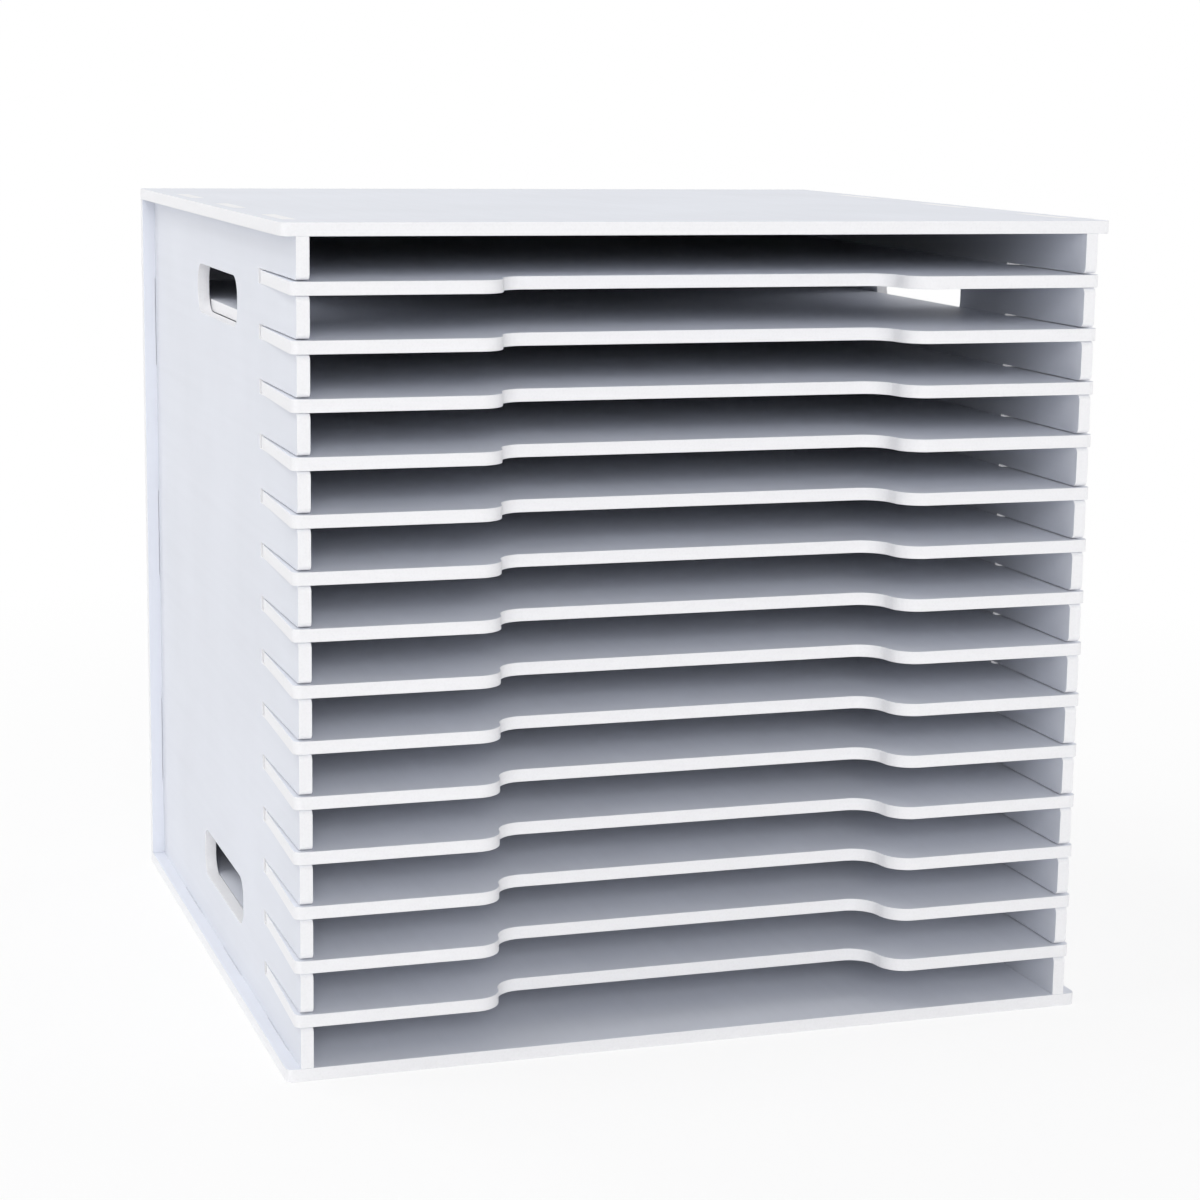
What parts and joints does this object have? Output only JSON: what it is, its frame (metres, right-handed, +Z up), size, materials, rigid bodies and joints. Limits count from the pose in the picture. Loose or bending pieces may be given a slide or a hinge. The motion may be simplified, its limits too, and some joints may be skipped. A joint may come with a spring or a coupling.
{
  "type": "literature organizer",
  "caption": "Open-fronted flat-pack literature organizer: a tenoned box of thin white boards with a stack of slide-in shelves, finger scoops and hand holes in the sides.",
  "frame": {"origin": "middle of the underside of the case, on the surface it stands on", "axes": "+Z up, -Y out of the open front, +X to the right of someone facing the front"},
  "size_m": [0.331, 0.316, 0.3215],
  "materials": {
    "case_board": "white foamed plastic board with a satin skin and sawn edges",
    "shelf_board": "white foamed plastic board with a satin skin and sawn edges"
  },
  "bodies": {
    "case": {"top_panel": "case_board", "bottom_panel": "case_board", "back_panel": "case_board", "left_side_panel": "case_board", "right_side_panel": "case_board"},
    "shelf_01": {"shelf_01": "shelf_board"},
    "shelf_02": {"shelf_02": "shelf_board"},
    "shelf_03": {"shelf_03": "shelf_board"},
    "shelf_04": {"shelf_04": "shelf_board"},
    "shelf_05": {"shelf_05": "shelf_board"},
    "shelf_06": {"shelf_06": "shelf_board"},
    "shelf_07": {"shelf_07": "shelf_board"},
    "shelf_08": {"shelf_08": "shelf_board"},
    "shelf_09": {"shelf_09": "shelf_board"},
    "shelf_10": {"shelf_10": "shelf_board"},
    "shelf_11": {"shelf_11": "shelf_board"},
    "shelf_12": {"shelf_12": "shelf_board"},
    "shelf_13": {"shelf_13": "shelf_board"},
    "shelf_14": {"shelf_14": "shelf_board"}
  },
  "joints": [
    {"name": "shelf_01_slide", "type": "slide", "parent": "case", "child": "shelf_01", "axis": [0, -1, 0], "range_m": [0, 0.32]},
    {"name": "shelf_02_slide", "type": "slide", "parent": "case", "child": "shelf_02", "axis": [0, -1, 0], "range_m": [0, 0.32]},
    {"name": "shelf_03_slide", "type": "slide", "parent": "case", "child": "shelf_03", "axis": [0, -1, 0], "range_m": [0, 0.32]},
    {"name": "shelf_04_slide", "type": "slide", "parent": "case", "child": "shelf_04", "axis": [0, -1, 0], "range_m": [0, 0.32]},
    {"name": "shelf_05_slide", "type": "slide", "parent": "case", "child": "shelf_05", "axis": [0, -1, 0], "range_m": [0, 0.32]},
    {"name": "shelf_06_slide", "type": "slide", "parent": "case", "child": "shelf_06", "axis": [0, -1, 0], "range_m": [0, 0.32]},
    {"name": "shelf_07_slide", "type": "slide", "parent": "case", "child": "shelf_07", "axis": [0, -1, 0], "range_m": [0, 0.32]},
    {"name": "shelf_08_slide", "type": "slide", "parent": "case", "child": "shelf_08", "axis": [0, -1, 0], "range_m": [0, 0.32]},
    {"name": "shelf_09_slide", "type": "slide", "parent": "case", "child": "shelf_09", "axis": [0, -1, 0], "range_m": [0, 0.32]},
    {"name": "shelf_10_slide", "type": "slide", "parent": "case", "child": "shelf_10", "axis": [0, -1, 0], "range_m": [0, 0.32]},
    {"name": "shelf_11_slide", "type": "slide", "parent": "case", "child": "shelf_11", "axis": [0, -1, 0], "range_m": [0, 0.32]},
    {"name": "shelf_12_slide", "type": "slide", "parent": "case", "child": "shelf_12", "axis": [0, -1, 0], "range_m": [0, 0.32]},
    {"name": "shelf_13_slide", "type": "slide", "parent": "case", "child": "shelf_13", "axis": [0, -1, 0], "range_m": [0, 0.32]},
    {"name": "shelf_14_slide", "type": "slide", "parent": "case", "child": "shelf_14", "axis": [0, -1, 0], "range_m": [0, 0.32]}
  ]
}
